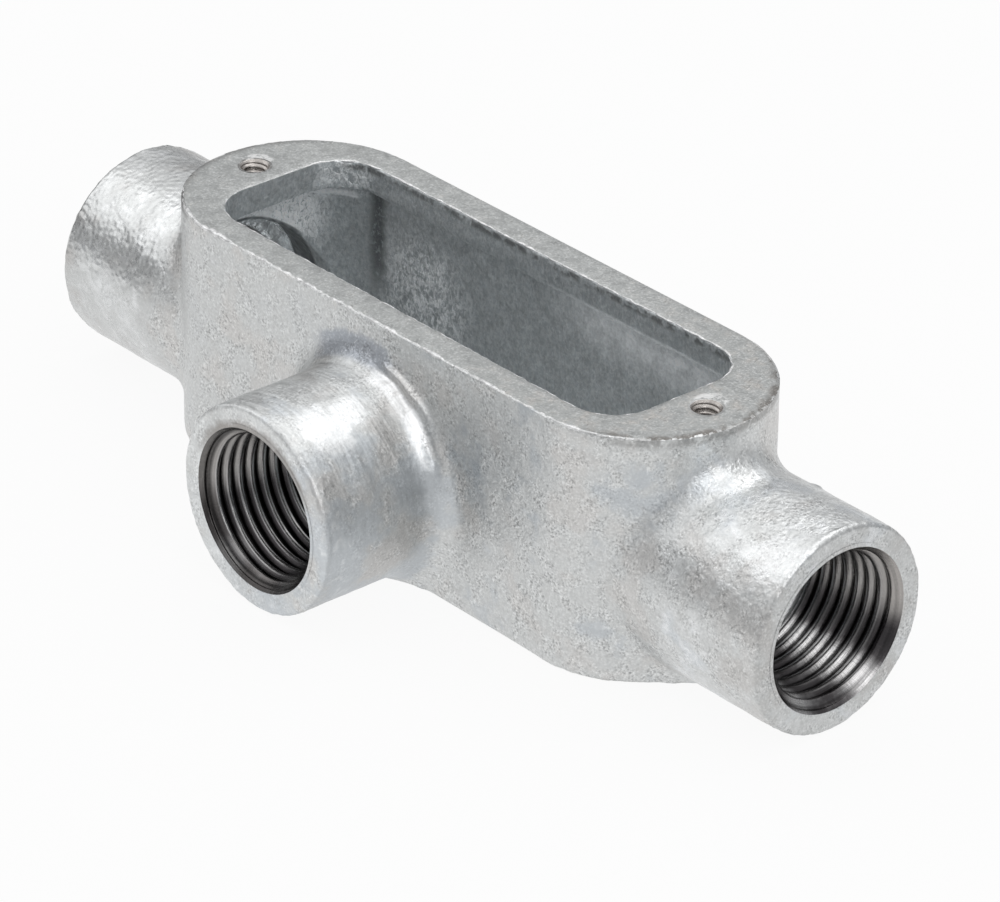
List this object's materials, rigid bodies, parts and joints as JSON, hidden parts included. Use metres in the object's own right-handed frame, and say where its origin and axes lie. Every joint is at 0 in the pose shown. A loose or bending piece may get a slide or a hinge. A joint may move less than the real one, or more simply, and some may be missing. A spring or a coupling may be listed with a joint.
{
  "type": "conduit tee",
  "caption": "Cast box with rounded ends, an open top inside a flat cover flange, and threaded hubs at both ends and on one side, for joining electrical conduits.",
  "frame": {"origin": "on the flat back face, under the point where the axis of the run and the axis of the side hub cross", "axes": "+X along the run of the two end hubs, -Y out of the side hub, +Z out of the open top"},
  "size_m": [0.1314, 0.0508, 0.0337],
  "materials": {
    "galvanised_iron": "hot-dip galvanised casting, satin silver-grey with a fine grain, brighter zinc on the hubs, bare dark machined threads"
  },
  "bodies": {
    "root": {"tee_body": "galvanised_iron"}
  },
  "joints": []
}
